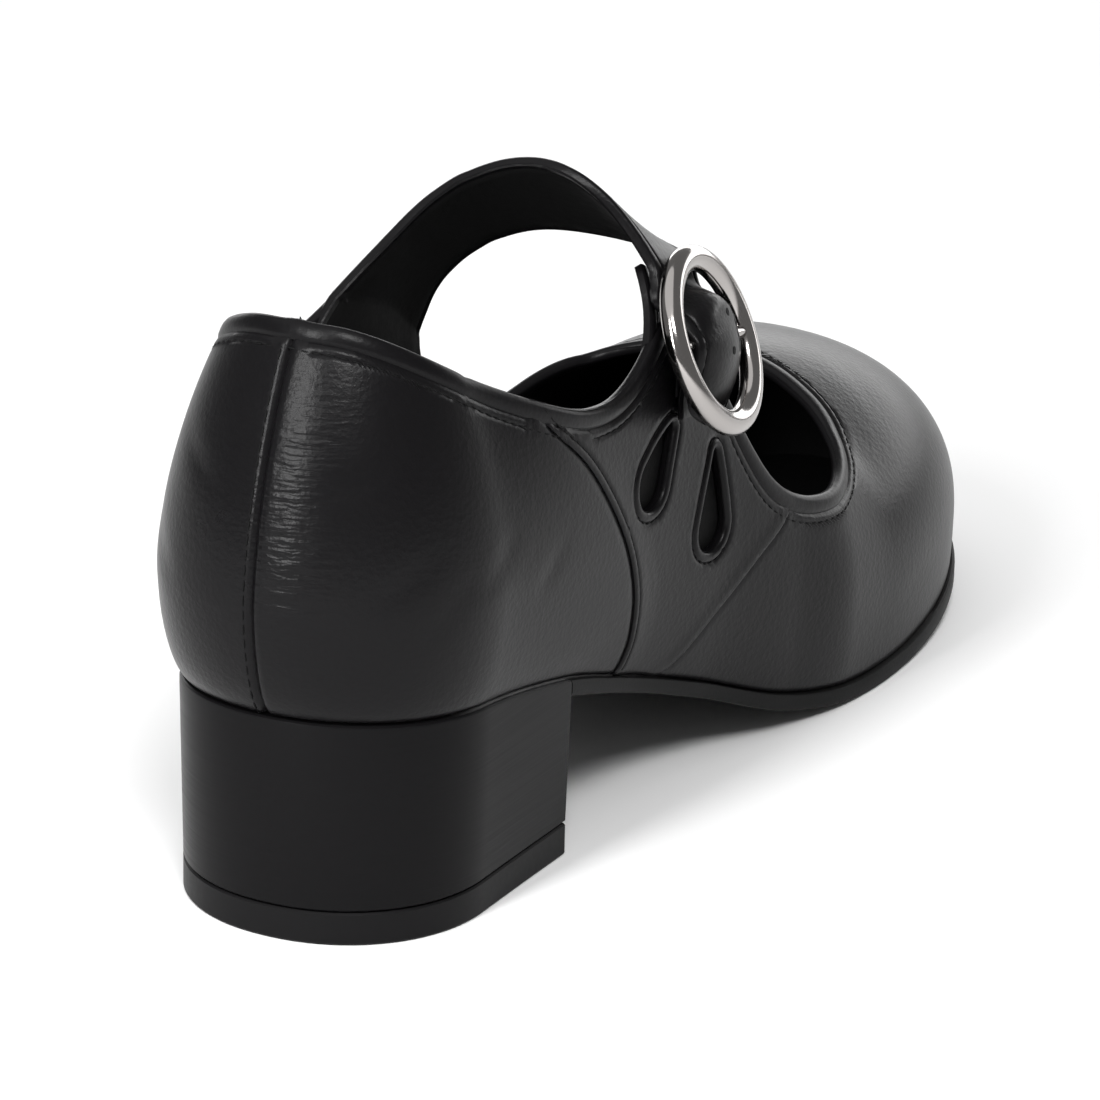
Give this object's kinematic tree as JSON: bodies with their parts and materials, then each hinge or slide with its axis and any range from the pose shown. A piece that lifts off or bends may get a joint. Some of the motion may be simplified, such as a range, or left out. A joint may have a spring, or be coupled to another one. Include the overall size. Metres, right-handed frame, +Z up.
{
  "type": "mary jane pump",
  "caption": "Right mary jane pump: round toe, U-shaped throat, teardrop cut-outs, a strap over the instep through a round buckle, and a block heel.",
  "frame": {"origin": "on the floor, under the middle of the bounding box", "axes": "+Y from the heel to the toe, +X to the outer side of the foot, +Z up"},
  "size_m": [0.0848, 0.2496, 0.1185],
  "materials": {
    "leather": "smooth black leather with a satin sheen",
    "sole": "matte black sole sheet",
    "insole": "matte black sock",
    "heel": "black, finely brushed, satin",
    "top_piece": "matte black",
    "metal": "polished silver-coloured metal"
  },
  "bodies": {
    "root": {"upper": "leather", "outsole": "sole", "insole": "insole", "heel_block": "heel", "top_piece": "top_piece", "buckle_ring": "metal", "buckle_loop": "leather"}
  },
  "joints": []
}
